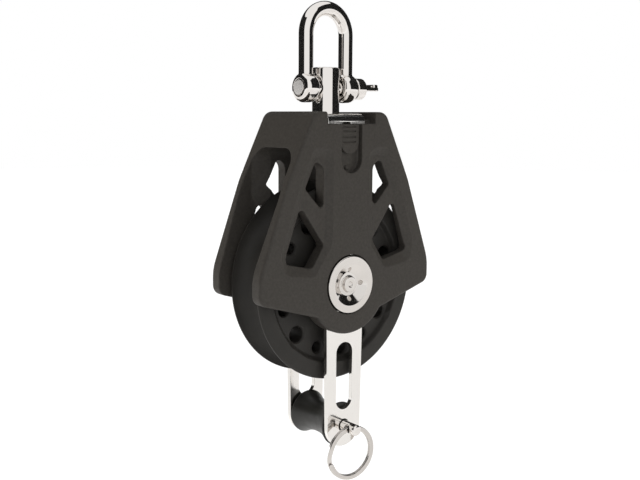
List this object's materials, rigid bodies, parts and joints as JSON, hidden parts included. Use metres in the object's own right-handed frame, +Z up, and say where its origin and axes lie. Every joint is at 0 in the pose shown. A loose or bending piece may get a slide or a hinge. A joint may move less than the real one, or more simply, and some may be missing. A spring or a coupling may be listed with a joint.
{
  "type": "swivel shackle block with becket",
  "caption": "Composite rope block: one sheave between moulded cheeks, a swivelling D-shackle head with a lock slider, a stainless load strap and a becket with thimble, clevis pin and ring.",
  "frame": {"origin": "inside of the shackle bow's crown, at its middle, where it bears on what the block hangs from", "axes": "+Z up along the swivel post, -Y the face with the lock slider and the split ring, +X towards the shackle pin's key, with the shackle's plane along the cheeks"},
  "size_m": [0.0662, 0.0294, 0.1446],
  "materials": {
    "nylon": "matt black moulded nylon, finely grained",
    "sheave_acetal": "black acetal, turned smooth",
    "white_acetal": "white acetal",
    "satin_steel": "satin stainless steel",
    "polished_steel": "mirror polished stainless steel"
  },
  "bodies": {
    "shackle": {"shackle_bow": "polished_steel", "shackle_pin": "polished_steel"},
    "post": {"swivel_post": "polished_steel"},
    "block": {"moulded_body": "nylon", "load_strap": "satin_steel", "swivel_washer": "white_acetal", "axle": "satin_steel", "axle_cap_front": "satin_steel", "axle_cap_rear": "satin_steel", "inner_race": "satin_steel", "thrust_washer_front": "white_acetal", "thrust_washer_rear": "white_acetal"},
    "lock": {"lock_slider": "nylon"},
    "sheave": {"sheave": "sheave_acetal"},
    "cage": {"roller_cage": "sheave_acetal"},
    "thimble": {"becket_thimble": "nylon"},
    "clevis": {"clevis_pin": "polished_steel"},
    "ring": {"split_ring": "polished_steel"},
    "roller_01": {"roller_01": "white_acetal"},
    "roller_02": {"roller_02": "white_acetal"},
    "roller_03": {"roller_03": "white_acetal"},
    "roller_04": {"roller_04": "white_acetal"},
    "roller_05": {"roller_05": "white_acetal"},
    "roller_06": {"roller_06": "white_acetal"},
    "roller_07": {"roller_07": "white_acetal"},
    "roller_08": {"roller_08": "white_acetal"},
    "roller_09": {"roller_09": "white_acetal"},
    "roller_10": {"roller_10": "white_acetal"}
  },
  "joints": [
    {"name": "shackle_hinge", "type": "hinge", "parent": "shackle", "child": "post", "pos_m": [0, 0, -0.0212], "axis": [1, 0, 0], "range_deg": [-100, 100]},
    {"name": "swivel", "type": "hinge", "parent": "post", "child": "block", "pos_m": [0, 0, -0.03], "axis": [0, 0, 1], "continuous": true},
    {"name": "lock_slide", "type": "slide", "parent": "block", "child": "lock", "axis": [0, 0, -1], "range_m": [0, 0.0053]},
    {"name": "sheave_spin", "type": "hinge", "parent": "block", "child": "sheave", "pos_m": [0, 0, -0.0794], "axis": [0, 1, 0], "continuous": true},
    {"name": "cage_orbit", "type": "hinge", "parent": "block", "child": "cage", "pos_m": [0, 0, -0.0794], "axis": [0, 1, 0], "continuous": true},
    {"name": "roller_01_spin", "type": "hinge", "parent": "cage", "child": "roller_01", "pos_m": [0.0079, 0, -0.0794], "axis": [0, 1, 0], "continuous": true},
    {"name": "roller_02_spin", "type": "hinge", "parent": "cage", "child": "roller_02", "pos_m": [0.00639, 0, -0.08404], "axis": [0, 1, 0], "continuous": true},
    {"name": "roller_03_spin", "type": "hinge", "parent": "cage", "child": "roller_03", "pos_m": [0.00244, 0, -0.08691], "axis": [0, 1, 0], "continuous": true},
    {"name": "roller_04_spin", "type": "hinge", "parent": "cage", "child": "roller_04", "pos_m": [-0.00244, 0, -0.08691], "axis": [0, 1, 0], "continuous": true},
    {"name": "roller_05_spin", "type": "hinge", "parent": "cage", "child": "roller_05", "pos_m": [-0.00639, 0, -0.08404], "axis": [0, 1, 0], "continuous": true},
    {"name": "roller_06_spin", "type": "hinge", "parent": "cage", "child": "roller_06", "pos_m": [-0.0079, 0, -0.0794], "axis": [0, 1, 0], "continuous": true},
    {"name": "roller_07_spin", "type": "hinge", "parent": "cage", "child": "roller_07", "pos_m": [-0.00639, 0, -0.07476], "axis": [0, 1, 0], "continuous": true},
    {"name": "roller_08_spin", "type": "hinge", "parent": "cage", "child": "roller_08", "pos_m": [-0.00244, 0, -0.07189], "axis": [0, 1, 0], "continuous": true},
    {"name": "roller_09_spin", "type": "hinge", "parent": "cage", "child": "roller_09", "pos_m": [0.00244, 0, -0.07189], "axis": [0, 1, 0], "continuous": true},
    {"name": "roller_10_spin", "type": "hinge", "parent": "cage", "child": "roller_10", "pos_m": [0.00639, 0, -0.07476], "axis": [0, 1, 0], "continuous": true},
    {"name": "thimble_spin", "type": "hinge", "parent": "block", "child": "thimble", "pos_m": [0, 0, -0.124], "axis": [0, 1, 0], "continuous": true},
    {"name": "clevis_turn", "type": "hinge", "parent": "block", "child": "clevis", "pos_m": [0, 0, -0.124], "axis": [0, 1, 0], "continuous": true},
    {"name": "ring_swing", "type": "hinge", "parent": "clevis", "child": "ring", "pos_m": [0, -0.0133, -0.124], "axis": [-0.9962, 0.0872, 0], "range_deg": [-8, 100]}
  ],
  "couplings": [
    {"joint": "cage_orbit", "follows": "sheave_spin", "ratio": 0.5854},
    {"joint": "roller_01_spin", "follows": "sheave_spin", "ratio": 2.8407},
    {"joint": "roller_02_spin", "follows": "sheave_spin", "ratio": 2.8407},
    {"joint": "roller_03_spin", "follows": "sheave_spin", "ratio": 2.8407},
    {"joint": "roller_04_spin", "follows": "sheave_spin", "ratio": 2.8407},
    {"joint": "roller_05_spin", "follows": "sheave_spin", "ratio": 2.8407},
    {"joint": "roller_06_spin", "follows": "sheave_spin", "ratio": 2.8407},
    {"joint": "roller_07_spin", "follows": "sheave_spin", "ratio": 2.8407},
    {"joint": "roller_08_spin", "follows": "sheave_spin", "ratio": 2.8407},
    {"joint": "roller_09_spin", "follows": "sheave_spin", "ratio": 2.8407},
    {"joint": "roller_10_spin", "follows": "sheave_spin", "ratio": 2.8407}
  ]
}
